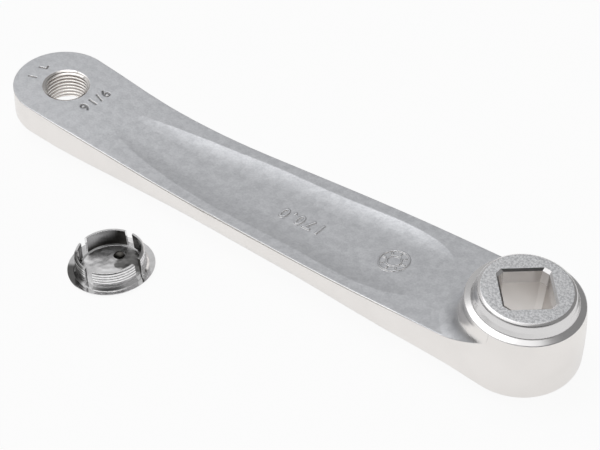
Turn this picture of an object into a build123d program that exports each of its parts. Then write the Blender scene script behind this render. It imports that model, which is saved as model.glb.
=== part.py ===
from build123d import *
from math import atan, degrees, radians, sqrt, tan
import os

os.makedirs("parts", exist_ok=True)

# Left-hand square-taper crank arm, in millimetres. The spindle axis is Z, the collar face is z = 0
# and the arm runs along -X to the pedal eye. +Z looks at the bottom bracket.
crank_length = 170.0

# Collar, cove and shoulder cone, turned on the inner face of the boss.
collar_radius = 12.95
collar_edge_width = 0.9
collar_edge_drop = 0.75
cove_width = 1.1
cove_depth = 3.0
cone_width = 1.75
cone_depth = 0.65

# Boss around the spindle.
boss_flare = 1.25
boss_height = 24.5
boss_corner_radius = 3.0
boss_lean_in = 2.3
boss_lean_fade = 12.0

# Pedal eye.
eye_overhang = 1.4
eye_radius = 15.25
eye_drop = 31.3
eye_thickness = 11.5
eye_corner_radius = 3.0
pedal_bore_radius = 6.46
pedal_mouth_radius = 7.3
pedal_outer_mouth_radius = 7.9
pedal_seat_radius = 11.5
pedal_seat_depth = 0.25

# Square taper socket, 2 degrees a side, its corners towards the arm.
taper_flats = 13.3
taper_angle = 2.0
taper_corner_cut = 1.55
taper_mouth_chamfer = 0.6

# Extractor bore, whose floor is the seat of the spindle bolt.
extractor_radius = 10.45
extractor_depth = 9.5
extractor_mouth_chamfer = 0.9

# Inner face of the arm: flat at the eye, then a straight rise to the boss.
inner_drop_at_spindle = 11.35
inner_bend_to_pedal = 43.7
inner_bend_reach = 26.0

# Outer face of the arm: flat under the boss, a straight run, then flat under the eye.
outer_bend_at_boss = 15.0
outer_bend_at_boss_reach = 8.0
outer_bend_to_pedal = 33.5
outer_bend_at_eye_reach = 24.0

# Widest and narrowest places of the arm, and the stretch where its outer corner is fullest.
arm_widest_half = 17.33
arm_widest_from_spindle = 37.7
arm_waist_half = 14.34
arm_waist_to_pedal = 32.9
arm_corner_radius = 7.6
corner_grows_from_spindle = 14.0
corner_full_from_spindle = 68.6
corner_full_to_pedal = 63.7
section_count = 16

# Shallow channel in the inner face.
dish_depth = 0.95
dish_from_spindle = 27.0
dish_to_pedal = 24.0
dish_run_in = 22.0
dish_run_out = 52.0
dish_rim = 3.5
dish_cove_width = 7.5
dish_reach = 9.8
dish_rise = 1.54

# Blend from the boss to the inner face.
blend_radius = 6.0
blend_sink = 0.03

# Dust cap that snaps into the extractor bore, lying beside the arm with its fingers up.
cap_overlap = 2.05
cap_foot_width = 4.2
cap_rim_height = 0.75
cap_rim_edge = 0.2
cap_dish = 0.2
cap_floor = 0.8
cap_floor_step = 0.4
cap_floor_edge = 0.4
cap_wall = 0.9
cap_clearance = 0.25
cap_finger_taper = 0.25
cap_finger_foot = 0.6
cap_tip_chamfer = 0.3
cap_height = 6.5
cap_slot_width = 2.6
cap_slot_bottom = 1.2
cap_turn = 8.5
cap_x = -109.8
cap_y = -40.7

# Sizes that follow from those above.
cove_bottom_radius = collar_radius + cove_width
shoulder_radius = cove_bottom_radius + cone_width
boss_radius = shoulder_radius + boss_flare
arm_length = crank_length + eye_overhang
eye_bottom = eye_drop + eye_thickness
inner_bend = crank_length - inner_bend_to_pedal
inner_slope = (eye_drop - inner_drop_at_spindle) / inner_bend
outer_bend = crank_length - outer_bend_to_pedal
outer_slope = (eye_bottom - boss_height) / (outer_bend - outer_bend_at_boss)
cap_radius = extractor_radius + cap_overlap
cap_finger_radius = extractor_radius - cap_clearance
cap_tip_radius = cap_finger_radius - cap_finger_taper
cut_reach = 2 * boss_radius
cut_height = boss_height


def smooth(distance, start, end, low, high):
    """Value that goes from low at start to high at end, level at both."""
    part = min(1.0, max(0.0, (distance - start) / (end - start)))
    return low + (high - low) * part * part * (3 - 2 * part)


def half_width(distance):
    if distance < arm_widest_from_spindle:
        return smooth(distance, 0, arm_widest_from_spindle, boss_radius, arm_widest_half)
    waist = crank_length - arm_waist_to_pedal
    if distance < waist:
        return smooth(distance, arm_widest_from_spindle, waist, arm_widest_half, arm_waist_half)
    return smooth(distance, waist, arm_length, arm_waist_half, eye_radius)


def corner_radius(distance):
    full_end = crank_length - corner_full_to_pedal
    if distance < full_end:
        return smooth(
            distance,
            corner_grows_from_spindle,
            corner_full_from_spindle,
            boss_corner_radius,
            arm_corner_radius,
        )
    return smooth(distance, full_end, arm_length, arm_corner_radius, eye_corner_radius)


def inner_face(distance):
    """Height of the inner face of the arm at a distance from the spindle axis."""
    start = inner_bend - inner_bend_reach
    end = inner_bend + inner_bend_reach
    if distance >= end:
        return -eye_drop
    if distance <= start:
        return -inner_drop_at_spindle - inner_slope * distance
    return -eye_drop + inner_slope * (end - distance) ** 2 / (4 * inner_bend_reach)


def outer_face(distance):
    """Height of the outer face of the arm at a distance from the spindle axis."""
    boss_end = outer_bend_at_boss - outer_bend_at_boss_reach
    run_start = outer_bend_at_boss + outer_bend_at_boss_reach
    run_end = outer_bend - outer_bend_at_eye_reach
    eye_start = outer_bend + outer_bend_at_eye_reach
    if distance <= boss_end:
        return -boss_height
    if distance <= run_start:
        return -boss_height - outer_slope * (distance - boss_end) ** 2 / (4 * outer_bend_at_boss_reach)
    if distance <= run_end:
        return -boss_height - outer_slope * (distance - outer_bend_at_boss)
    if distance <= eye_start:
        return -eye_bottom + outer_slope * (eye_start - distance) ** 2 / (4 * outer_bend_at_eye_reach)
    return -eye_bottom


def polygon(points):
    """Closed outline in the XZ plane."""
    return Face(Wire.make_polygon([(x, 0, z) for x, z in points], close=True))


def side_edges(place, width, bottom, corner, lean_in):
    """Outer corner and side wall of half a section, up to z = 0."""
    middle = corner * (1 - sqrt(0.5))
    wall_foot = bottom + corner
    return [
        ThreePointArc(
            place(width - corner, bottom),
            place(width - middle, bottom + middle),
            place(width, wall_foot),
        ),
        Bezier(place(width, wall_foot), place(width, wall_foot / 3), place(width - lean_in, 0)),
    ]


def arm_section(distance):
    width = half_width(distance)
    corner = corner_radius(distance)
    bottom = outer_face(distance)
    lean_in = boss_lean_in * max(0.0, 1 - distance / boss_lean_fade)
    x = -distance
    right = side_edges(lambda y, z: (x, y, z), width, bottom, corner, lean_in)
    left = side_edges(lambda y, z: (x, -y, z), width, bottom, corner, lean_in)
    foot = Line((x, -(width - corner), bottom), (x, width - corner, bottom))
    roof = Line((x, -(width - lean_in), 0), (x, width - lean_in, 0))
    return Face(Wire([foot, *right, roof, *left]))


def dish_section(distance, depth):
    """Outline of what the channel takes away at one place: flat floor, hollow sides, open top."""
    floor = inner_face(distance) - depth
    half_floor = half_width(distance) - dish_rim - dish_cove_width
    outer = half_floor + dish_reach
    bend = half_floor + dish_reach / 2
    top = floor + dish_rise
    roof = top + 4 * dish_depth
    x = -distance
    return Face(
        Wire(
            [
                Line((x, -half_floor, floor), (x, half_floor, floor)),
                Bezier((x, half_floor, floor), (x, bend, floor), (x, outer, top)),
                Line((x, outer, top), (x, outer, roof)),
                Line((x, outer, roof), (x, -outer, roof)),
                Line((x, -outer, roof), (x, -outer, top)),
                Bezier((x, -outer, top), (x, -bend, floor), (x, -half_floor, floor)),
            ]
        )
    )


# Solid arm before the inner face is cut: every section reaches up to the collar face.
arm_places = [arm_length * place / section_count for place in range(section_count + 1)]
arm_blank = loft([arm_section(place) for place in arm_places], ruled=True)

# Everything above the inner face of the arm.
eye_x = -arm_length
far_x = eye_x - 2 * eye_radius
near_x = boss_radius / 8
bend_start = -inner_bend - inner_bend_reach
bend_end = -inner_bend + inner_bend_reach
face_at_near = -inner_drop_at_spindle + inner_slope * near_x
face_edges = [
    Line((far_x, 0, -eye_drop), (bend_start, 0, -eye_drop)),
    Bezier(
        (bend_start, 0, -eye_drop),
        (-inner_bend, 0, -eye_drop),
        (bend_end, 0, inner_face(-bend_end)),
    ),
    Line((bend_end, 0, inner_face(-bend_end)), (near_x, 0, face_at_near)),
    Line((near_x, 0, face_at_near), (near_x, 0, cut_height)),
    Line((near_x, 0, cut_height), (far_x, 0, cut_height)),
    Line((far_x, 0, cut_height), (far_x, 0, -eye_drop)),
]
above_face = extrude(Face(Wire(face_edges)), cut_reach, both=True, dir=(0, 1, 0))

# The channel: it runs in from above the face near the boss and out again towards the eye.
dish_end = crank_length - dish_to_pedal
dish_path = [
    (dish_from_spindle - dish_run_in / 2, -dish_depth),
    (dish_from_spindle, 0.0),
    (dish_from_spindle + dish_run_in / 3, 0.55 * dish_depth),
    (dish_from_spindle + dish_run_in, 0.95 * dish_depth),
    (dish_end - dish_run_out, dish_depth),
    (dish_end - dish_run_out / 2, 0.7 * dish_depth),
    (dish_end, 0.0),
    (dish_end + dish_run_out / 4, -0.45 * dish_depth),
]
dish = loft([dish_section(distance, depth) for distance, depth in dish_path])

# Boss with its blend, sheared so that the foot of the blend lies in the sloping inner face.
blend_z = blend_radius - blend_sink
blend_foot = shoulder_radius + blend_radius
blend_middle = (
    shoulder_radius + blend_radius * (1 - sqrt(0.5)),
    0,
    blend_z - blend_radius * sqrt(0.5),
)
blend_outline = [
    Line((0, 0, -cut_height), (0, 0, cut_height)),
    Line((0, 0, cut_height), (shoulder_radius, 0, cut_height)),
    Line((shoulder_radius, 0, cut_height), (shoulder_radius, 0, blend_z)),
    ThreePointArc((shoulder_radius, 0, blend_z), blend_middle, (blend_foot, 0, -blend_sink)),
    Line((blend_foot, 0, -blend_sink), (blend_foot, 0, -cut_height)),
    Line((blend_foot, 0, -cut_height), (0, 0, -cut_height)),
]
shear = Matrix(
    [
        [1, 0, 0, 0],
        [0, 1, 0, 0],
        [inner_slope, 0, 1, -inner_drop_at_spindle],
        [0, 0, 0, 1],
    ]
)
boss_blend = revolve(Face(Wire(blend_outline)), Axis.Z, 360).transform_geometry(shear)
arm_left = arm_blank - ((above_face + dish) - boss_blend)


def half_round(axis_x, width, height, corner, lean_in, turn):
    """Half a solid of revolution that carries the end section of the arm round."""
    edges = side_edges(lambda y, z: (axis_x, y, z), width, -height, corner, lean_in)
    foot = Line((axis_x, 0, -height), (axis_x, width - corner, -height))
    roof = Line((axis_x, 0, 0), (axis_x, width - lean_in, 0))
    core = Line((axis_x, 0, -height), (axis_x, 0, 0))
    return revolve(Face(Wire([foot, *edges, roof, core])), Axis((axis_x, 0, 0), (0, 0, 1)), turn)


boss_end = half_round(0.0, boss_radius, boss_height, boss_corner_radius, boss_lean_in, -180)
eye_end = half_round(eye_x, eye_radius, eye_bottom, eye_corner_radius, 0.0, 180)
eye_lid = Pos(eye_x, 0, 0) * Box(4 * eye_radius, 4 * eye_radius, 2 * eye_drop)
forging = arm_left + boss_end + (eye_end - eye_lid)

# Turning of the collar: all that stands outside it above the shoulder cone is cut.
cove_bottom = -collar_edge_drop - cove_depth
cone_slope = cone_depth / cone_width
cone_end = cove_bottom - cone_slope * (cut_reach - cove_bottom_radius)
turning_outline = [
    (collar_radius - collar_edge_width, 0),
    (collar_radius - 0.22 * collar_edge_width, -0.55 * collar_edge_drop),
    (collar_radius, -collar_edge_drop),
    (collar_radius + 0.4 * cove_width, cove_bottom + 0.5 * cove_depth),
    (cove_bottom_radius, cove_bottom),
    (cut_reach, cone_end),
    (cut_reach, cut_height),
    (collar_radius - collar_edge_width, cut_height),
]
turning = revolve(polygon(turning_outline), Axis.Z, 360)
boss_zone = Box(2.6 * boss_radius, 2.6 * boss_radius, 2 * cut_height)
crank = forging - (turning & boss_zone)

# Square taper through to the bolt seat.
socket_depth = boss_height - extractor_depth


def taper_square(z, grow):
    flats = taper_flats + 2 * tan(radians(taper_angle)) * z + 2 * grow
    square = Rectangle(flats, flats, rotation=45)
    return (Pos(0, 0, z) * chamfer(square.vertices(), taper_corner_cut)).face()


socket = loft([taper_square(collar_edge_drop, 0), taper_square(-socket_depth - collar_edge_drop, 0)])
lip = loft(
    [
        taper_square(taper_mouth_chamfer, 2 * taper_mouth_chamfer),
        taper_square(-taper_mouth_chamfer, 0),
    ]
)
bore_overrun = extractor_radius / 2
extractor = Pos(0, 0, -boss_height + (extractor_depth - bore_overrun) / 2) * Cylinder(
    extractor_radius, extractor_depth + bore_overrun
)
extractor_mouth = Pos(0, 0, -boss_height) * Cone(
    extractor_radius + 2 * extractor_mouth_chamfer,
    extractor_radius,
    2 * extractor_mouth_chamfer,
)
crank = crank - socket - lip - extractor - extractor_mouth

# Pedal bore, chamfered at each end, and the seat of the pedal axle on the outer side.
pedal_chamfer = pedal_mouth_radius - pedal_bore_radius
outer_chamfer = pedal_outer_mouth_radius - pedal_bore_radius
seat_z = -eye_bottom + pedal_seat_depth
pedal_bore = Pos(-crank_length, 0, -eye_drop - eye_thickness / 2) * Cylinder(
    pedal_bore_radius, 2 * eye_thickness
)
inner_mouth = Pos(-crank_length, 0, -eye_drop) * Cone(
    pedal_bore_radius, pedal_mouth_radius + pedal_chamfer, 2 * pedal_chamfer
)
outer_mouth = Pos(-crank_length, 0, seat_z) * Cone(
    pedal_outer_mouth_radius + outer_chamfer, pedal_bore_radius, 2 * outer_chamfer
)
pedal_seat = Pos(-crank_length, 0, seat_z - eye_thickness / 2) * Cylinder(
    pedal_seat_radius, eye_thickness
)
crank = crank - pedal_bore - inner_mouth - outer_mouth - pedal_seat
export_step(crank, "parts/crank_arm.step")

# Slope of the table under the crank: it rests on the edge of the boss and the belly of the arm.
boss_edge = boss_radius - boss_corner_radius
belly_steps = 200
belly_places = [arm_length * step / belly_steps for step in range(belly_steps // 4, belly_steps)]
rest_slope = max((-boss_height - outer_face(place)) / (boss_edge + place) for place in belly_places)
table_z = -boss_height + rest_slope * (cap_x - boss_edge)

# Dust cap in its own frame, its outer face down on z = 0.
finger_in = cap_finger_radius - cap_wall
floor_edge = finger_in - cap_floor_edge
cap_outline = [
    (0, 0),
    (cap_radius - cap_foot_width, 0),
    (cap_radius - cap_rim_edge, cap_rim_height),
    (cap_radius, cap_rim_height + cap_rim_edge),
    (cap_radius, cap_slot_bottom),
    (cap_finger_radius + cap_finger_foot, cap_slot_bottom - cap_dish),
    (cap_finger_radius, cap_slot_bottom + cap_finger_foot - cap_dish),
    (cap_tip_radius, cap_height - cap_tip_chamfer),
    (cap_tip_radius - cap_tip_chamfer, cap_height),
    (cap_tip_radius - cap_wall, cap_height),
    (finger_in, cap_floor + cap_floor_step),
    (floor_edge, cap_floor),
    (0, cap_floor),
]
cap = revolve(polygon(cap_outline), Axis.Z, 360)
slot_middle = Pos(0, 0, cap_slot_bottom + cap_height)
slot_ring = slot_middle * (
    Cylinder(2 * cap_radius, 2 * cap_height) - Cylinder(floor_edge - cap_rim_edge / 2, 2 * cap_height)
)
slot = slot_middle * Box(3 * cap_radius, cap_slot_width, 2 * cap_height)
for turn in (0, 90):
    cap = cap - Rot(0, 0, turn) * (slot & slot_ring)
lie_down = Rot(0, -degrees(atan(rest_slope)), 0)
cap = Pos(cap_x, cap_y, table_z) * lie_down * Rot(0, 0, cap_turn) * cap
export_step(cap, "parts/dust_cap.step")
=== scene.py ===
import math

import bmesh
import bpy
from mathutils import Matrix, Vector
from mathutils.bvhtree import BVHTree
from mathutils.interpolate import poly_3d_calc


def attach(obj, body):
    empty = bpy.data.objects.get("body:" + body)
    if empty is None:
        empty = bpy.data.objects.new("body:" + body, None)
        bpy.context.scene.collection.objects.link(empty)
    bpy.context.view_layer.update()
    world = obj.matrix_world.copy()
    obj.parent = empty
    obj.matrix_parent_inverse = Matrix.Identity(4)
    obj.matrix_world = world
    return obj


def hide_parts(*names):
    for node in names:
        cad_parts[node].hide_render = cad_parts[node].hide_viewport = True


MM = 0.001

# Camera, fitted to the photograph: a 600 x 450 frame whose long side is the sensor's width.
CAMERA_AZIMUTH = 38.85
CAMERA_ELEVATION = 44.67
CAMERA_ROLL = 2.83
CAMERA_DISTANCE = 469.9 * MM
CAMERA_TARGET = Vector((-57.3, -21.95, 0)) * MM
CAMERA_LENS = 108.03
SENSOR_WIDTH = 36.0

# The table: the crank rests on the edge of its boss and the belly of its arm.
REST_X = 14.05 * MM
REST_Z = -24.5 * MM
REST_SLOPE = 0.1174
FLOOR_REACH = 3.0
FLOOR_COLOUR = (0.9, 0.9, 0.9, 1)
FLOOR_GLOW_SEEN = 0.93
FLOOR_GLOW_MIRRORED = 0.7
WHITE = (1, 1, 1, 1)

# In pairs, a smooth change starts at the first value and ends at the second; LEVELS are its results.

# Studio light: a dim room with a soft box overhead and a smaller one to the left, as directions.
ROOM_LEVEL = 0.28
SOFT_BOX = (-0.25, -0.03, 0.968)
SOFT_BOX_EDGE = (0.8, 0.91)
SOFT_BOX_LEVELS = (0.0, 0.88)
SIDE_BOX = (-0.66, 0.02, 0.751)
SIDE_BOX_EDGE = (0.93, 0.99)
SIDE_BOX_LEVELS = (0.0, 0.3)
# The room is lighter to the left, and darker low down except behind.
LEFT_REACH = (-0.8, 0.0)
LEFT_LEVELS = (0.25, 0.0)
BEHIND_REACH = (0.0, 0.5)
LOW_HEIGHT = (0.02, 0.3)
LOW_LEVELS = (0.2, 1.0)
# In front, where the photographer stands, it is dark above a bright strip.
FRONT = (0.627, -0.779, 0.0)
FRONT_REACH = (0.35, 0.65)
FRONT_LEVELS = (1.0, 0.2)
STRIP_REACH = (0.2, 0.5)
STRIP_HEIGHT = (0.12, 0.3)
STRIP_LEVELS = (0.7, 0.0)
# A soft lamp overhead, in metres and watts.
LAMP_PLACE = (-0.3, -0.02, 0.75)
LAMP_AIM = (-0.08, 0, 0)
LAMP_SIZE = 0.5
LAMP_POWER = 0.6

# Pedal thread, 9/16 inch with 20 turns an inch, left-hand (-1), and the M22 x 1 extractor thread.
PEDAL_X = -170.0 * MM
PEDAL_PITCH = 25.4 * MM / 20
PEDAL_MINOR = 6.46 * MM
PEDAL_MAJOR = 7.14 * MM
PEDAL_HAND = -1
EYE_TOP = -31.3 * MM
EYE_BOTTOM = -42.8 * MM
EXTRACTOR_PITCH = 1.0 * MM
EXTRACTOR_MINOR = 10.45 * MM
EXTRACTOR_MAJOR = 11.0 * MM
EXTRACTOR_HAND = 1
BOSS_BOTTOM = -24.5 * MM
EXTRACTOR_FLOOR = -15.0 * MM

# Section of the V groove, in shares of the pitch, and how far its cutter starts inside the bore.
GROOVE_SHARE = 0.36
CREST_SHARE = 0.06
GROOVE_OVERLAP = 0.12 * MM
# Share of a step by which the groove is turned, to keep its corners off those of the bore.
GROOVE_PHASE = 0.37
STEPS_A_TURN = 72

# Ring that gives the pedal bore its 120 degree mouth: radii, and heights from the face of the eye.
MOUTH_OUTLINE = (
    (7.27 * MM, -0.01 * MM),
    (6.5 * MM, -0.45 * MM),
    (6.5 * MM, -1.2 * MM),
    (7.7 * MM, -1.2 * MM),
    (7.7 * MM, -0.5 * MM),
)
MOUTH_TURN = math.radians(2.1)

# Long inner edges of the arm: well rounded on the near side, eased on the far side and round the eye.
EDGE_ROUND = 1.5 * MM
EDGE_SEGMENTS = 4
EDGE_FAR_SHARE = 0.28
EDGE_END_SHARE = 0.16
EDGE_EYE_REACH = 13.0 * MM
EDGE_EYE_FADE = (-176.0 * MM, -150.0 * MM)
EDGE_BOSS_FADE = (-32.0 * MM, -14.0 * MM)
EDGE_STEP = 4.0 * MM
EDGE_CUTS = 4
# Such an edge parts a face that looks up by more than the first from one that does by less than the second.
FACE_UP = 0.8
SIDE_UP = 0.3

# Normals: a face this near the solid's own takes its exact ones. Directions are compared by cosine.
SHARP_ANGLE = math.radians(30)
SAME_PLACE = 0.002 * MM
SAME_FACING = 0.98
# A corner of a cut face turns flat below the first value, and joins an exact normal above the second.
FLAT_BELOW = 0.96
JOINED_ABOVE = 0.94

# Corners of a mesh that are nearer than this are one corner.
SOLID_JOIN = 0.0005 * MM
FIGURE_JOIN = 0.001 * MM

# Marks: plain numbers and a plain round index, raised or sunk a little.
MARK_RELIEF = 0.3 * MM
MARK_BURIED = 0.5 * MM
MARK_DROP_FROM = 20.0 * MM
LENGTH_MARK = "170.0"
LENGTH_MARK_X = -72.8 * MM
LENGTH_MARK_Y = -1.6 * MM
LENGTH_MARK_SIZE = 5.6 * MM
LENGTH_MARK_SPACING = 1.3
THREAD_MARK = "9/16"
THREAD_MARK_X = -158.6 * MM
THREAD_MARK_Y = 1.1 * MM
THREAD_MARK_SIZE = 4.8 * MM
THREAD_MARK_SPACING = 1.35
SIDE_MARKS = (("1", -180.3 * MM, -4.2 * MM), ("L", -181.2 * MM, 1.4 * MM))
SIDE_MARK_SIZE = 4.0 * MM
SIDE_MARK_SPACING = 1.0
SIDE_MARK_TURN = math.radians(115)
FIGURE_WEIGHT = 0.018
FIGURE_STEPS = 4
INDEX_X = -41.4 * MM
INDEX_Y = -0.4 * MM
INDEX_RADIUS = 4.5 * MM
INDEX_LINE = 0.42 * MM
INDEX_RING_SHARES = (1.0, 0.5)
INDEX_TICK_SHARES = (0.6, 0.82)
INDEX_TICKS = 8

# Dust cap: its middle on the table, the fine ridges round its fingers and the dimple in its floor.
CAP_X = -109.8 * MM
CAP_Y = -40.7 * MM
CAP_FINGER_RADIUS = 10.2 * MM
CAP_FINGER_LEAN = 0.057
CAP_RIDGE_LOW = 2.1 * MM
CAP_RIDGE_PITCH = 0.85 * MM
CAP_RIDGE_COUNT = 5
CAP_RIDGE_DEPTH = 0.2 * MM
CAP_GROOVE_SHARE = 0.22
CAP_GROOVE_CLEAR = 1.0 * MM
DIMPLE_X = CAP_X - 1.8 * MM
DIMPLE_Y = CAP_Y + 4.7 * MM
DIMPLE_REACH = 1.6 * MM
DIMPLE_DEPTH = 0.45 * MM
BALL_STEPS = 96
BALL_TURN = math.radians(1.3)

# Noises of the finishes: scale, detail and roughness.
GRAIN_NOISE = (1500.0, 4.0, 0.7)
MOTTLE_NOISE = (420.0, 4.0, 0.55)
POLISH_NOISE = (90.0, 3.0, 0.5)
MARKS_NOISE = (900.0, 4.0, 0.65)
WAVES_NOISE = (190.0, 2.0, 0.5)

# Aluminium: where its finishes lie, and where shade is painted into its colour.
PEDAL_BORE_EDGE = (7.25 * MM, 7.35 * MM)
SPINDLE_BORE_EDGE = (11.2 * MM, 11.8 * MM)
# Rise of the normal at which the blasted finish starts and is full, by the boss and along the arm.
BLEND_REACH = (26.0 * MM, 34.0 * MM)
BLAST_START_LEVELS = (0.3, 0.86)
BLAST_FULL_LEVELS = (0.75, 0.95)
TURNED_HEIGHT = (-4.6 * MM, -4.45 * MM)
TURNED_REACH = (15.82 * MM, 15.95 * MM)
TURNED_TOP_LEAN = (0.97, 0.99)
# Painted shade on the floors of the sunk figures on the eye.
SUNK_SHADE_HEIGHT = (EYE_TOP - 0.2 * MM, EYE_TOP - 0.1 * MM)
SUNK_SHADE_REACH = (-153.0 * MM, -152.0 * MM)
SUNK_SHADE_LEVELS = (0.75, 0.0)
ROOT_REACH = (6.7 * MM, 6.95 * MM)
ROOT_HEIGHT = (EYE_TOP - 0.7 * MM, EYE_TOP - 0.6 * MM)
ROOT_LEVELS = (0.0, 0.6)

# Aluminium: its colours, and how the noises mix them.
SATIN = (0.755, 0.765, 0.79, 1)
SATIN_DARK = (0.625, 0.635, 0.66, 1)
POLISHED = (0.92, 0.89, 0.865, 1)
POLISHED_DARK = (0.89, 0.86, 0.835, 1)
TURNED_SIDE = (0.78, 0.77, 0.77, 1)
LATHE = (0.93, 0.935, 0.95, 1)
LATHE_DARK = (0.61, 0.615, 0.63, 1)
# Painted shade, for the floors of the sunk figures on the eye.
SUNK_SHADE = (0.12, 0.12, 0.125, 1)
ROOT_SHADE = (0.3, 0.285, 0.27, 1)
MOTTLE_SPREAD = (0.35, 0.65)
GRAIN_SPREAD = (0.38, 0.62)
HALF_LEVELS = (0.0, 0.5)
POLISH_SPREAD = (0.3, 0.7)
SPECKLE_SPREAD = (0.4, 0.6)

# Aluminium: its roughness and its fine relief.
WEAR_SPREAD = (0.3, 0.7)
WEAR_LEVELS = (-0.02, 0.02)
ROUGH_PEDAL_BORE = 0.16
ROUGH_SIDES = 0.22
ROUGH_SPINDLE_BORE = 0.4
ROUGH_BLASTED = 0.35
ROUGH_TURNED = 0.2
ROUGH_TOP = 0.38
RINGS_SCALE = 6500.0
RINGS_DETAIL = 2.0
SOFTNESS_LEVELS = (0.05 * MM, 0.45 * MM)
SOFTNESS_SAMPLES = 8
GRAIN_STRENGTH = 0.8
GRAIN_DEPTH = 0.06 * MM
RINGS_STRENGTH = 0.5
RINGS_DEPTH = 0.02 * MM

# Chrome: where the painted shade on the cap's inner walls and in its dimple, its floor, and the painted dark
# reflections on one finger and on the disc lie.
WALL_LEAN = (0.5, 0.7)
WALL_INWARD_REACH = (-2.0 * MM, 0.0)
WALL_REACH = (9.4 * MM, 9.6 * MM)
DISC_REACH = (8.9 * MM, 9.1 * MM)
# Painted dark reflection on the outer side of the cap towards the front left; the disc's painted reflection
# lies on the opposite side.
DARK_REFLECTION_SIDE = (-0.518, -0.856, 0.0)
DARK_REFLECTION_SPREAD = (0.88, 0.95)
DARK_REFLECTION_LEVELS = (0.0, 0.85)
DARK_REFLECTION_REACH = (9.2 * MM, 9.8 * MM)
MIDDLE_REACH = 1.0 * MM
# Painted dark reflection on the disc, on the side away from the front left, its edge wandering with the
# marks.
DISC_REFLECTION_WANDER = 0.5
DISC_REFLECTION_SPREAD = (-0.62, -0.3)
DISC_REFLECTION_LEVELS = (0.8, 0.0)
# Painted shade in the dimple of the cap's floor.
DIMPLE_EDGE = (DIMPLE_REACH, DIMPLE_REACH + 0.1 * MM)
DIMPLE_LEAN = (0.0, 0.3)

# Chrome: its colours, each with its hazy shade, and its roughness and fine relief.
CHROME = (0.95, 0.945, 0.95, 1)
CHROME_HAZY = (0.85, 0.845, 0.85, 1)
# Painted shade and painted dark reflections, for the cap's dark places.
DARK = (0.07, 0.068, 0.062, 1)
DARK_HAZY = (0.05, 0.047, 0.044, 1)
HAZE_SPREAD = (0.35, 0.7)
GLOSS_LEVELS = (0.06, 0.16)
DISC_ROUGHER = 0.22
CAP_SOFTNESS = 0.12 * MM
CAP_SOFTNESS_SAMPLES = 6
WAVES_DEPTH = 0.5 * MM
MARKS_STRENGTH = 0.15
MARKS_DEPTH = 0.01 * MM


def new_object(name, data):
    made = bpy.data.objects.new(name, data)
    bpy.context.scene.collection.objects.link(made)
    return made


def add_camera():
    azimuth = math.radians(CAMERA_AZIMUTH)
    elevation = math.radians(CAMERA_ELEVATION)
    roll = math.radians(CAMERA_ROLL)
    back = Vector(
        (
            math.sin(azimuth) * math.cos(elevation),
            -math.cos(azimuth) * math.cos(elevation),
            math.sin(elevation),
        )
    )
    level = Vector((math.cos(azimuth), math.sin(azimuth), 0))
    upright = back.cross(level)
    right = level * math.cos(roll) + upright * math.sin(roll)
    up = upright * math.cos(roll) - level * math.sin(roll)
    data = bpy.data.cameras.new("camera")
    data.lens = CAMERA_LENS
    data.sensor_width = SENSOR_WIDTH
    camera = new_object("camera", data)
    turn = Matrix((right, up, back)).transposed()
    camera.matrix_world = Matrix.Translation(CAMERA_TARGET + back * CAMERA_DISTANCE) @ turn.to_4x4()
    bpy.context.scene.camera = camera


def add_node(tree, kind, inputs=None, **settings):
    """New node with its settings, and with values or other nodes' outputs on its inputs."""
    made = tree.nodes.new(kind)
    for name, value in settings.items():
        setattr(made, name, value)
    for name, value in (inputs or {}).items():
        if isinstance(value, bpy.types.NodeSocket):
            tree.links.new(value, made.inputs[name])
        else:
            made.inputs[name].default_value = value
    return made


def maths(tree, operation, *values):
    """Result of an operation on two values, and then on that result and each further value."""
    result = values[0]
    for value in values[1:]:
        result = add_node(tree, "ShaderNodeMath", {0: result, 1: value}, operation=operation).outputs[0]
    return result


def step_between(tree, value, start, end, low=0.0, high=1.0):
    """Smooth change from low to high as value goes from start to end."""
    ranged = add_node(
        tree,
        "ShaderNodeMapRange",
        {"Value": value, "From Min": start, "From Max": end, "To Min": low, "To Max": high},
        interpolation_type="SMOOTHSTEP",
    )
    return ranged.outputs[0]


def fade_between(tree, value, start, end):
    """Smooth change from 1 to 0 as value goes from start to end."""
    return step_between(tree, value, start, end, 1.0, 0.0)


def dot(tree, first, second):
    made = add_node(tree, "ShaderNodeVectorMath", {0: first, 1: second}, operation="DOT_PRODUCT")
    return made.outputs["Value"]


def distance_from(tree, x, y, centre_x, centre_y=0.0):
    """Distance from an upright axis."""
    across = maths(tree, "SUBTRACT", x, centre_x)
    along = maths(tree, "SUBTRACT", y, centre_y)
    across_square = maths(tree, "MULTIPLY", across, across)
    along_square = maths(tree, "MULTIPLY", along, along)
    squares = maths(tree, "ADD", across_square, along_square)
    return add_node(tree, "ShaderNodeMath", {0: squares}, operation="SQRT").outputs[0]


def noise(tree, point, scale, detail, roughness):
    made = add_node(
        tree,
        "ShaderNodeTexNoise",
        {"Vector": point, "Scale": scale, "Detail": detail, "Roughness": roughness},
    )
    return made.outputs[0]


def mix_colours(tree, factor, first, second):
    made = add_node(tree, "ShaderNodeMix", {0: factor, 6: first, 7: second}, data_type="RGBA")
    return made.outputs[2]


def mix_values(tree, factor, first, second):
    made = add_node(tree, "ShaderNodeMix", {0: factor, 2: first, 3: second}, data_type="FLOAT")
    return made.outputs[0]


def bump(tree, strength, distance, height, normal):
    made = add_node(
        tree,
        "ShaderNodeBump",
        {"Strength": strength, "Distance": distance, "Height": height, "Normal": normal},
    )
    return made.outputs[0]


def add_world():
    """Studio around the object."""
    world = bpy.data.worlds.new("studio")
    bpy.context.scene.world = world
    world.use_nodes = True
    tree = world.node_tree
    tree.nodes.clear()
    direction = add_node(tree, "ShaderNodeTexCoord").outputs["Generated"]
    light = add_node(
        tree,
        "ShaderNodeBackground",
        {"Color": WHITE, "Strength": studio_level(tree, direction)},
    )
    add_node(tree, "ShaderNodeOutputWorld", {"Surface": light.outputs[0]})


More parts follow.
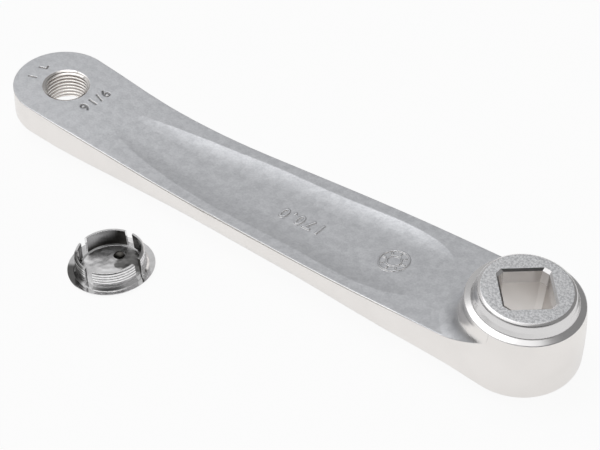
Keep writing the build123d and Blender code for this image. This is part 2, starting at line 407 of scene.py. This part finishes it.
def studio_level(tree, direction):
    """Strength of the light that comes from a direction."""
    split = add_node(tree, "ShaderNodeSeparateXYZ", {0: direction})
    height = split.outputs["Z"]
    forward = dot(tree, direction, FRONT)
    soft_box = step_between(tree, dot(tree, direction, SOFT_BOX), *SOFT_BOX_EDGE, *SOFT_BOX_LEVELS)
    side_box = step_between(tree, dot(tree, direction, SIDE_BOX), *SIDE_BOX_EDGE, *SIDE_BOX_LEVELS)
    left = step_between(tree, split.outputs["X"], *LEFT_REACH, *LEFT_LEVELS)
    room = maths(tree, "ADD", soft_box, side_box, left, ROOM_LEVEL)
    behind = step_between(tree, split.outputs["Y"], *BEHIND_REACH)
    low = maths(tree, "MAXIMUM", step_between(tree, height, *LOW_HEIGHT, *LOW_LEVELS), behind)
    front = step_between(tree, forward, *FRONT_REACH, *FRONT_LEVELS)
    strip = step_between(tree, height, *STRIP_HEIGHT, *STRIP_LEVELS)
    strip = maths(tree, "MULTIPLY", step_between(tree, forward, *STRIP_REACH), strip)
    return maths(tree, "ADD", maths(tree, "MULTIPLY", room, low, front), strip)


def add_lamp(name, place, aim, size, power):
    data = bpy.data.lights.new(name, "AREA")
    data.shape = "DISK"
    data.size = size
    data.energy = power
    lamp = new_object(name, data)
    lamp.location = place
    lamp.rotation_mode = "QUATERNION"
    lamp.rotation_quaternion = (Vector(aim) - Vector(place)).to_track_quat("-Z", "Y")


def table_height(x):
    return REST_Z + REST_SLOPE * (x - REST_X)


def add_floor():
    reach = FLOOR_REACH
    corners = [(-reach, -reach), (reach, -reach), (reach, reach), (-reach, reach)]
    mesh = bpy.data.meshes.new("floor")
    mesh.from_pydata([(x, y, table_height(x)) for x, y in corners], [], [(0, 1, 2, 3)])
    floor = new_object("floor", mesh)
    mesh.materials.append(floor_material())


def floor_material():
    """Pale table that is a near-white background, seen and mirrored, and keeps the shadow."""
    material = bpy.data.materials.new("floor")
    material.use_nodes = True
    tree = material.node_tree
    tree.nodes.clear()
    diffuse = add_node(tree, "ShaderNodeBsdfDiffuse", {"Color": FLOOR_COLOUR})
    glow = add_node(tree, "ShaderNodeEmission", {"Color": WHITE})
    path = add_node(tree, "ShaderNodeLightPath")
    seen = maths(tree, "MULTIPLY", path.outputs["Is Camera Ray"], FLOOR_GLOW_SEEN)
    mirrored = maths(tree, "MAXIMUM", path.outputs["Is Glossy Ray"], path.outputs["Is Transmission Ray"])
    mirrored = maths(tree, "MULTIPLY", mirrored, FLOOR_GLOW_MIRRORED)
    mix = add_node(tree, "ShaderNodeMixShader", {0: maths(tree, "ADD", seen, mirrored)})
    tree.links.new(diffuse.outputs[0], mix.inputs[1])
    tree.links.new(glow.outputs[0], mix.inputs[2])
    add_node(tree, "ShaderNodeOutputMaterial", {"Surface": mix.outputs[0]})
    return material


def new_piece(name, vertices, faces):
    mesh = bpy.data.meshes.new(name)
    mesh.from_pydata(vertices, [], faces)
    face_outwards(mesh)
    return new_object(name, mesh)


def face_outwards(mesh):
    work = bmesh.new()
    work.from_mesh(mesh)
    if work.calc_volume(signed=True) < 0:
        bmesh.ops.reverse_faces(work, faces=work.faces)
    work.to_mesh(mesh)
    work.free()


def bar_round(name, sections):
    """Closed bar through sections of four corners each, its two ends capped."""
    vertices = [corner for section in sections for corner in section]
    faces = []
    for start in range(0, len(vertices) - 4, 4):
        for corner in range(4):
            after = (corner + 1) % 4
            faces.append((start + corner, start + after, start + after + 4, start + corner + 4))
    faces.append((3, 2, 1, 0))
    faces.append(tuple(len(vertices) - 4 + corner for corner in range(4)))
    return new_piece(name, vertices, faces)


def thread_groove(name, centre_x, heights, radii, pitch, hand):
    """Helical bar of V section that cuts one screw thread out of a bore."""
    low, high = heights
    minor, major = radii
    inside = minor - GROOVE_OVERLAP
    foot = GROOVE_SHARE + (minor - inside) / (major - minor) * (GROOVE_SHARE - CREST_SHARE)
    corners = [(inside, -foot), (major, -CREST_SHARE), (major, CREST_SHARE), (inside, foot)]
    sections = []
    for step in range(round((high - low) / pitch * STEPS_A_TURN) + 1):
        angle = 2 * math.pi * (step + GROOVE_PHASE) / STEPS_A_TURN
        middle = low + pitch * step / STEPS_A_TURN
        x = math.cos(angle)
        y = hand * math.sin(angle)
        sections.append([(centre_x + r * x, r * y, middle + share * pitch) for r, share in corners])
    return bar_round(name, sections)


def turned_ring(name, outline, place):
    """Ring with a closed outline of radius and height, turned about the Z axis of its place."""
    steps = STEPS_A_TURN
    count = len(outline)
    vertices = []
    for step in range(steps):
        x = math.cos(2 * math.pi * step / steps)
        y = math.sin(2 * math.pi * step / steps)
        vertices.extend(place @ Vector((radius * x, radius * y, height)) for radius, height in outline)
    faces = []
    for step in range(steps):
        here = count * step
        there = count * ((step + 1) % steps)
        for corner in range(count):
            after = (corner + 1) % count
            faces.append((here + corner, here + after, there + after, there + corner))
    return new_piece(name, vertices, faces)


def flat_ring(name, outer, inner, half_height, place):
    outline = [(inner, -half_height), (outer, -half_height), (outer, half_height), (inner, half_height)]
    return turned_ring(name, outline, place)


def ball(name, reach, depth, place):
    """Ball that cuts a dimple of a reach and a depth into a floor at a place."""
    radius = (reach * reach + depth * depth) / (2 * depth)
    mesh = bpy.data.meshes.new(name)
    work = bmesh.new()
    bmesh.ops.create_uvsphere(
        work,
        u_segments=BALL_STEPS,
        v_segments=BALL_STEPS,
        radius=radius,
        matrix=Matrix.Rotation(BALL_TURN, 4, "Z"),
    )
    work.to_mesh(mesh)
    work.free()
    mesh.transform(Matrix.Translation(place + Vector((0, 0, radius - depth))))
    return new_object(name, mesh)


def copy_of(node, name):
    """Own mesh with the form of a CAD node, its split corners joined again."""
    made = new_object(name, node.data.copy())
    made.data.name = name
    join_corners(made.data, SOLID_JOIN)
    return made


def join_corners(mesh, gap, outwards=False):
    """Joins the corners that lie within a gap, and can turn all faces outwards."""
    work = bmesh.new()
    work.from_mesh(mesh)
    bmesh.ops.remove_doubles(work, verts=work.verts, dist=gap)
    if outwards:
        bmesh.ops.recalc_face_normals(work, faces=work.faces)
    work.to_mesh(mesh)
    work.free()


def mesh_of(shown):
    """Plain mesh of an object as it is shown, with its modifiers or its figures."""
    bpy.context.view_layer.update()
    return bpy.data.meshes.new_from_object(shown.evaluated_get(bpy.context.evaluated_depsgraph_get()))


def apply_step(piece):
    """Takes the result of the piece's modifier as its mesh."""
    made = mesh_of(piece)
    old = piece.data
    piece.modifiers.clear()
    piece.data = made
    made.name = piece.name
    bpy.data.meshes.remove(old)


def combine(piece, other, operation):
    """Adds other to piece, or cuts it away, and removes other."""
    step = piece.modifiers.new("step", "BOOLEAN")
    step.operation = operation
    step.solver = "EXACT"
    step.object = other
    apply_step(piece)
    bpy.data.objects.remove(other)


def smooth(value, start, end):
    share = min(1.0, max(0.0, (value - start) / (end - start)))
    return share * share * (3 - 2 * share)


def middle_of(edge):
    return (edge.verts[0].co + edge.verts[1].co) / 2


def edge_share(middle):
    """Share of the full rounding that an edge gets at its place along the arm."""
    full = 1.0 if middle.y < 0 else EDGE_FAR_SHARE
    along = smooth(middle.x, *EDGE_EYE_FADE) - smooth(middle.x, *EDGE_BOSS_FADE)
    return EDGE_END_SHARE + (full - EDGE_END_SHARE) * along


def is_inner_edge(edge):
    """Whether an edge parts the inner face of the arm from its side."""
    if len(edge.link_faces) != 2:
        return False
    facing = sorted(face.normal.z for face in edge.link_faces)
    if facing[1] <= FACE_UP or abs(facing[0]) >= SIDE_UP:
        return False
    middle = middle_of(edge)
    from_eye = math.hypot(middle.x - PEDAL_X, middle.y)
    return middle.x < EDGE_BOSS_FADE[1] and from_eye > EDGE_EYE_REACH


def round_edges(piece):
    """Rounds the edge between the inner face of the arm and its sides."""
    work = bmesh.new()
    work.from_mesh(piece.data)
    long_edges = [edge for edge in work.edges if is_inner_edge(edge) and edge.calc_length() > EDGE_STEP]
    bmesh.ops.subdivide_edges(work, edges=long_edges, cuts=EDGE_CUTS)
    weights = work.edges.layers.float.new("bevel_weight_edge")
    for edge in work.edges:
        if is_inner_edge(edge):
            edge[weights] = edge_share(middle_of(edge))
    work.to_mesh(piece.data)
    work.free()
    step = piece.modifiers.new("step", "BEVEL")
    step.limit_method = "WEIGHT"
    step.width = EDGE_ROUND
    step.segments = EDGE_SEGMENTS
    step.use_clamp_overlap = True
    apply_step(piece)


def take_exact_normals(mesh, source, normals):
    """Puts the source's normals on the corners of faces that lie on it.

    Returns the exact normals by vertex, and the corners of all other faces with their flat normals.
    """
    points = [vertex.co.copy() for vertex in source.vertices]
    tree = BVHTree.FromPolygons(points, [tuple(face.vertices) for face in source.polygons])
    exact = {}
    others = []
    for face in mesh.polygons:
        facing, index, gap = tree.find_nearest(face.center)[1:]
        if gap > SAME_PLACE or facing.dot(face.normal) < SAME_FACING:
            others.extend((loop, face.normal) for loop in face.loop_indices)
            continue
        under = source.polygons[index]
        ring = [points[vertex] for vertex in under.vertices]
        for loop in face.loop_indices:
            vertex = mesh.loops[loop].vertex_index
            weights = poly_3d_calc(ring, mesh.vertices[vertex].co)
            normal = Vector()
            for weight, corner in zip(weights, under.loop_indices):
                normal += weight * source.corner_normals[corner].vector
            normals[loop] = normal.normalized()
            exact.setdefault(vertex, []).append(normals[loop])
    return exact, others


def keep_normals(piece, node):
    """Gives faces that lie on the CAD node its exact normals, and lets the others run into them."""
    mesh = piece.data
    mesh.shade_smooth()
    mesh.set_sharp_from_angle(angle=SHARP_ANGLE)
    normals = [corner.vector.copy() for corner in mesh.corner_normals]
    exact, others = take_exact_normals(mesh, node.data, normals)
    for loop, flat in others:
        if normals[loop].dot(flat) < FLAT_BELOW:
            normals[loop] = flat.copy()
        for normal in exact.get(mesh.loops[loop].vertex_index, []):
            if normal.dot(normals[loop]) > JOINED_ABOVE:
                normals[loop] = normal
                break
    mesh.normals_split_custom_set(normals)


def straight_below(node, x, y, height):
    """Place on a node straight below a point."""
    return node.ray_cast(Vector((x, y, height)), Vector((0, 0, -1)))[1]


def drape(piece, node):
    """Lays a flat mark on the face of the node under it."""
    for vertex in piece.data.vertices:
        x, y, rise = vertex.co
        vertex.co.z = straight_below(node, x, y, MARK_DROP_FROM).z + rise


def flat_place(x, y, turn, height=0.0):
    return Matrix.Translation((x, y, height)) @ Matrix.Rotation(turn, 4, "Z")


def written(name, text, size, spacing, half_height, place):
    """Solid figures, centred on their place."""
    curve = bpy.data.curves.new(name, "FONT")
    curve.body = text
    curve.size = size
    curve.space_character = spacing
    curve.extrude = half_height
    curve.offset = FIGURE_WEIGHT * size
    curve.align_x = "CENTER"
    curve.align_y = "CENTER"
    curve.resolution_u = FIGURE_STEPS
    figures = new_object(name, curve)
    mesh = mesh_of(figures)
    bpy.data.objects.remove(figures)
    mesh.transform(place)
    join_corners(mesh, FIGURE_JOIN, outwards=True)
    return new_object(name, mesh)


def cut_threads(arm):
    """Shapes the mouth of the pedal bore and cuts both screw threads."""
    mouth_place = flat_place(PEDAL_X, 0, MOUTH_TURN, EYE_TOP)
    combine(arm, turned_ring("pedal_mouth", MOUTH_OUTLINE, mouth_place), "UNION")
    pedal = thread_groove(
        "pedal_groove",
        PEDAL_X,
        (EYE_BOTTOM - PEDAL_PITCH, EYE_TOP + PEDAL_PITCH),
        (PEDAL_MINOR, PEDAL_MAJOR),
        PEDAL_PITCH,
        PEDAL_HAND,
    )
    combine(arm, pedal, "DIFFERENCE")
    extractor = thread_groove(
        "extractor_groove",
        0.0,
        (BOSS_BOTTOM - EXTRACTOR_PITCH, EXTRACTOR_FLOOR - EXTRACTOR_PITCH),
        (EXTRACTOR_MINOR, EXTRACTOR_MAJOR),
        EXTRACTOR_PITCH,
        EXTRACTOR_HAND,
    )
    combine(arm, extractor, "DIFFERENCE")


def index_marks(half, place):
    """Round index: two rings, and short ticks between them."""
    marks = []
    for share in INDEX_RING_SHARES:
        radius = share * INDEX_RADIUS
        marks.append(flat_ring("index_ring", radius, radius - INDEX_LINE, half, place))
    wide = 0.5 * INDEX_LINE
    corners = [(-wide, -half), (wide, -half), (wide, half), (-wide, half)]
    for tick in range(INDEX_TICKS):
        turn = place @ Matrix.Rotation(2 * math.pi * tick / INDEX_TICKS, 4, "Z")
        reach = [share * INDEX_RADIUS for share in INDEX_TICK_SHARES]
        sections = [[turn @ Vector((r, y, z)) for y, z in corners] for r in reach]
        marks.append(bar_round("index_tick", sections))
    return marks


def raise_marks(arm, node):
    """Adds the crank length and the round index to the inner face of the arm."""
    half = (MARK_RELIEF + MARK_BURIED) / 2
    rise = Matrix.Translation((0, 0, (MARK_RELIEF - MARK_BURIED) / 2))
    place = rise @ flat_place(LENGTH_MARK_X, LENGTH_MARK_Y, math.pi)
    length = written("length_mark", LENGTH_MARK, LENGTH_MARK_SIZE, LENGTH_MARK_SPACING, half, place)
    index = index_marks(half, rise @ flat_place(INDEX_X, INDEX_Y, 0.0))
    for mark in [length] + index:
        drape(mark, node)
        combine(arm, mark, "UNION")


def sink_marks(arm):
    """Cuts the thread size, the 1 and the L into the face of the eye."""
    place = flat_place(THREAD_MARK_X, THREAD_MARK_Y, -math.pi / 2, EYE_TOP)
    mark = written("thread_mark", THREAD_MARK, THREAD_MARK_SIZE, THREAD_MARK_SPACING, MARK_RELIEF, place)
    combine(arm, mark, "DIFFERENCE")
    for figure, x, y in SIDE_MARKS:
        place = flat_place(x, y, SIDE_MARK_TURN, EYE_TOP)
        mark = written("side_mark", figure, SIDE_MARK_SIZE, SIDE_MARK_SPACING, MARK_RELIEF, place)
        combine(arm, mark, "DIFFERENCE")


def build_arm(node):
    arm = copy_of(node, "crank_arm_body")
    round_edges(arm)
    cut_threads(arm)
    raise_marks(arm, node)
    sink_marks(arm)
    keep_normals(arm, node)
    return arm


def build_cap(node):
    cap = copy_of(node, "dust_cap_shell")
    lie_down = Matrix.Rotation(-math.atan(REST_SLOPE), 4, "Y")
    place = Matrix.Translation((CAP_X, CAP_Y, table_height(CAP_X))) @ lie_down
    for ridge in range(CAP_RIDGE_COUNT):
        height = CAP_RIDGE_LOW + CAP_RIDGE_PITCH * ridge
        radius = CAP_FINGER_RADIUS - CAP_FINGER_LEAN * (height - CAP_RIDGE_LOW)
        groove = flat_ring(
            "finger_groove",
            radius + CAP_GROOVE_CLEAR,
            radius - CAP_RIDGE_DEPTH,
            CAP_GROOVE_SHARE * CAP_RIDGE_PITCH,
            place @ Matrix.Translation((0, 0, height)),
        )
        combine(cap, groove, "DIFFERENCE")
    floor_place = straight_below(node, DIMPLE_X, DIMPLE_Y, 0.0)
    combine(cap, ball("cap_dimple", DIMPLE_REACH, DIMPLE_DEPTH, floor_place), "DIFFERENCE")
    keep_normals(cap, node)
    return cap


class Spot:
    """The point that is shaded: its place and its facing in the part's own frame."""

    def __init__(self, tree):
        coordinates = add_node(tree, "ShaderNodeTexCoord")
        self.point = coordinates.outputs["Object"]
        self.normal = coordinates.outputs["Normal"]
        place = add_node(tree, "ShaderNodeSeparateXYZ", {0: self.point})
        self.x = place.outputs[0]
        self.y = place.outputs[1]
        self.z = place.outputs[2]
        self.up = add_node(tree, "ShaderNodeSeparateXYZ", {0: self.normal}).outputs[2]


class ArmZones:
    """Shares, from 0 to 1, of the arm's finishes, and the distances that they follow."""

    def __init__(self, tree, spot):
        self.radius = distance_from(tree, spot.x, spot.y, 0.0)
        self.pedal_radius = distance_from(tree, spot.x, spot.y, PEDAL_X)
        self.past_pedal_bore = step_between(tree, self.pedal_radius, *PEDAL_BORE_EDGE)
        self.past_spindle_bore = step_between(tree, self.radius, *SPINDLE_BORE_EDGE)
        self.open_face = maths(tree, "MULTIPLY", self.past_pedal_bore, self.past_spindle_bore)
        blast_start = step_between(tree, self.radius, *BLEND_REACH, *BLAST_START_LEVELS)
        blast_full = step_between(tree, self.radius, *BLEND_REACH, *BLAST_FULL_LEVELS)
        upwards = step_between(tree, spot.up, blast_start, blast_full)
        self.inner = maths(tree, "MULTIPLY", self.open_face, upwards)
        turned_height = step_between(tree, spot.z, *TURNED_HEIGHT)
        turned_reach = fade_between(tree, self.radius, *TURNED_REACH)
        self.turned = maths(tree, "MULTIPLY", turned_height, turned_reach)
        self.turned_top = maths(tree, "MULTIPLY", self.turned, step_between(tree, spot.up, *TURNED_TOP_LEAN))
        self.blasted = maths(tree, "MULTIPLY", self.inner, maths(tree, "SUBTRACT", 1.0, self.turned))


def sunk_shade_share(tree, spot, zones):
    """Share of the painted shade, which lies in the sunk figures on the eye."""
    sunk = step_between(tree, spot.z, *SUNK_SHADE_HEIGHT, *SUNK_SHADE_LEVELS)
    at_eye = fade_between(tree, spot.x, *SUNK_SHADE_REACH)
    return maths(tree, "MULTIPLY", sunk, zones.inner, at_eye)


def root_share(tree, spot, zones):
    """Share of the shade in the roots of the pedal thread, below the mouth of its bore."""
    roots = step_between(tree, zones.pedal_radius, *ROOT_REACH, *ROOT_LEVELS)
    below_mouth = fade_between(tree, spot.z, *ROOT_HEIGHT)
    in_bore = fade_between(tree, zones.past_pedal_bore, 0.0, 1.0)
    return maths(tree, "MULTIPLY", roots, below_mouth, in_bore)


def arm_colour(tree, spot, zones, grain, mottle):
    mottled = step_between(tree, mottle, *MOTTLE_SPREAD, *HALF_LEVELS)
    grained = step_between(tree, grain, *GRAIN_SPREAD, *HALF_LEVELS)
    satin = mix_colours(tree, maths(tree, "ADD", mottled, grained), SATIN_DARK, SATIN)
    polish = step_between(tree, noise(tree, spot.point, *POLISH_NOISE), *POLISH_SPREAD)
    colour = mix_colours(tree, polish, POLISHED_DARK, POLISHED)
    colour = mix_colours(tree, zones.turned, colour, TURNED_SIDE)
    colour = mix_colours(tree, zones.blasted, colour, satin)
    speckle = mix_colours(tree, step_between(tree, grain, *SPECKLE_SPREAD), LATHE_DARK, LATHE)
    colour = mix_colours(tree, zones.turned_top, colour, speckle)
    # Painted shade on the floors of the sunk figures, and in the roots of the pedal thread.
    colour = mix_colours(tree, sunk_shade_share(tree, spot, zones), colour, SUNK_SHADE)
    return mix_colours(tree, root_share(tree, spot, zones), colour, ROOT_SHADE)


def arm_roughness(tree, zones, mottle):
    wear = step_between(tree, mottle, *WEAR_SPREAD, *WEAR_LEVELS)
    rough = step_between(tree, zones.past_pedal_bore, 0.0, 1.0, ROUGH_PEDAL_BORE, ROUGH_SIDES)
    rough = step_between(tree, zones.past_spindle_bore, 0.0, 1.0, ROUGH_SPINDLE_BORE, rough)
    rough = mix_values(tree, zones.blasted, rough, ROUGH_BLASTED)
    rough = mix_values(tree, zones.turned, rough, ROUGH_TURNED)
    rough = mix_values(tree, zones.turned_top, rough, ROUGH_TOP)
    return maths(tree, "ADD", rough, wear)


def arm_relief(tree, zones, grain):
    """Grain of the blasted face and rings of the turned top, over softened edges."""
    rings = add_node(
        tree,
        "ShaderNodeTexNoise",
        {"W": maths(tree, "MULTIPLY", zones.radius, RINGS_SCALE), "Scale": 1.0, "Detail": RINGS_DETAIL},
        noise_dimensions="1D",
    )
    softness = step_between(tree, zones.open_face, 0.0, 1.0, *SOFTNESS_LEVELS)
    soft_edge = add_node(tree, "ShaderNodeBevel", {"Radius": softness}, samples=SOFTNESS_SAMPLES)
    grained = maths(tree, "MAXIMUM", zones.blasted, zones.turned_top)
    grained = maths(tree, "MULTIPLY", grained, GRAIN_STRENGTH)
    grained = bump(tree, grained, GRAIN_DEPTH, grain, soft_edge.outputs[0])
    ringed = maths(tree, "MULTIPLY", zones.turned_top, RINGS_STRENGTH)
    return bump(tree, ringed, RINGS_DEPTH, rings.outputs[0], grained)


def new_metal(name):
    """New metal material, with its node tree and its shader."""
    material = bpy.data.materials.new(name)
    material.use_nodes = True
    tree = material.node_tree
    shader = tree.nodes["Principled BSDF"]
    shader.inputs["Metallic"].default_value = 1.0
    return material, tree, shader


def aluminium():
    """Blasted inner face, polished sides and outer face, turned collar and machined bores, with painted
    shade in the sunk figures and thread roots.
    """
    material, tree, shader = new_metal("aluminium")
    spot = Spot(tree)
    zones = ArmZones(tree, spot)
    grain = noise(tree, spot.point, *GRAIN_NOISE)
    mottle = noise(tree, spot.point, *MOTTLE_NOISE)
    tree.links.new(arm_colour(tree, spot, zones, grain, mottle), shader.inputs["Base Color"])
    tree.links.new(arm_roughness(tree, zones, mottle), shader.inputs["Roughness"])
    tree.links.new(arm_relief(tree, zones, grain), shader.inputs["Normal"])
    return material


def wall_shade_share(tree, spot, from_axis, radius):
    """Share of the painted shade on the inner sides of the cap's fingers."""
    steep = fade_between(tree, spot.up, *WALL_LEAN)
    inward = fade_between(tree, dot(tree, spot.normal, from_axis), *WALL_INWARD_REACH)
    within = fade_between(tree, radius, *WALL_REACH)
    return maths(tree, "MULTIPLY", within, steep, inward)


# Painted shade inside the dimple of the cap's floor.
def dimple_shade_share(tree, spot):
    from_dimple = distance_from(tree, spot.x, spot.y, DIMPLE_X, DIMPLE_Y)
    within = fade_between(tree, from_dimple, *DIMPLE_EDGE)
    return maths(tree, "MULTIPLY", step_between(tree, spot.up, *DIMPLE_LEAN), within)


def painted_dark_share(tree, spot, radius, disc, marks):
    """Share of the painted dark places: painted shade on the inner walls and in the dimple, and painted dark
    reflections on one finger and on the disc.
    """
    from_axis = add_node(
        tree,
        "ShaderNodeVectorMath",
        {0: spot.point, 1: (CAP_X, CAP_Y, 0.0)},
        operation="SUBTRACT",
    ).outputs[0]
    wall = wall_shade_share(tree, spot, from_axis, radius)
    towards = dot(tree, from_axis, DARK_REFLECTION_SIDE)
    towards = maths(tree, "DIVIDE", towards, maths(tree, "MAXIMUM", radius, MIDDLE_REACH))
    outer = step_between(tree, radius, *DARK_REFLECTION_REACH)
    # Painted dark reflection on the outer side of the cap, towards the front left.
    finger_reflection = step_between(tree, towards, *DARK_REFLECTION_SPREAD, *DARK_REFLECTION_LEVELS)
    finger_reflection = maths(tree, "MULTIPLY", finger_reflection, outer)
    # Painted dark reflection on the back-right side of the disc.
    wander = maths(tree, "MULTIPLY", marks, DISC_REFLECTION_WANDER)
    disc_reflection = step_between(tree, maths(tree, "ADD", towards, wander), *DISC_REFLECTION_SPREAD, *DISC_REFLECTION_LEVELS)
    disc_reflection = maths(tree, "MULTIPLY", disc, disc_reflection)
    return maths(tree, "MAXIMUM", wall, finger_reflection, disc_reflection, dimple_shade_share(tree, spot))


def cap_relief(tree, spot, disc, marks):
    """Faint waves in the disc and handling marks all over, over softened edges."""
    waves = noise(tree, spot.point, *WAVES_NOISE)
    soft_edge = add_node(tree, "ShaderNodeBevel", {"Radius": CAP_SOFTNESS}, samples=CAP_SOFTNESS_SAMPLES)
    wavy = bump(tree, disc, WAVES_DEPTH, waves, soft_edge.outputs[0])
    return bump(tree, MARKS_STRENGTH, MARKS_DEPTH, marks, wavy)


def chrome():
    """Bright plating with faint handling marks, and painted shade and painted dark reflections in places."""
    material, tree, shader = new_metal("chrome")
    spot = Spot(tree)
    marks = noise(tree, spot.point, *MARKS_NOISE)
    radius = distance_from(tree, spot.x, spot.y, CAP_X, CAP_Y)
    disc = maths(tree, "MULTIPLY", fade_between(tree, radius, *DISC_REACH), spot.up)
    haze = step_between(tree, marks, *HAZE_SPREAD)
    bright = mix_colours(tree, haze, CHROME, CHROME_HAZY)
    dark = mix_colours(tree, haze, DARK, DARK_HAZY)
    # The dark colour here is painted shade and painted dark reflections.
    colour = mix_colours(tree, painted_dark_share(tree, spot, radius, disc, marks), bright, dark)
    tree.links.new(colour, shader.inputs["Base Color"])
    gloss = step_between(tree, marks, *HAZE_SPREAD, *GLOSS_LEVELS)
    gloss = maths(tree, "ADD", gloss, maths(tree, "MULTIPLY", disc, DISC_ROUGHER))
    tree.links.new(gloss, shader.inputs["Roughness"])
    tree.links.new(cap_relief(tree, spot, disc, marks), shader.inputs["Normal"])
    return material


def dress(piece, material, node_name):
    piece.data.materials.clear()
    piece.data.materials.append(material)
    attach(piece, "root")
    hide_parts(node_name)


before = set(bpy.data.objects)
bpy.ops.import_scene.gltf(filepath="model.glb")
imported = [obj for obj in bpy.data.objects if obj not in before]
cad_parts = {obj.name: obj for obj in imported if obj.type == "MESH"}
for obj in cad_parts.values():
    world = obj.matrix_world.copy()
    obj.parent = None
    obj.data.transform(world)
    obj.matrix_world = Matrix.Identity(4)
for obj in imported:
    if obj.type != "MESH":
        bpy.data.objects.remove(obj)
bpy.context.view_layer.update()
add_camera()
add_world()
add_lamp("overhead", LAMP_PLACE, LAMP_AIM, LAMP_SIZE, LAMP_POWER)
add_floor()
arm_piece = build_arm(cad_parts["crank_arm"])
cap_piece = build_cap(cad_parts["dust_cap"])
dress(arm_piece, aluminium(), "crank_arm")
dress(cap_piece, chrome(), "dust_cap")
bpy.context.scene.view_settings.view_transform = "Standard"
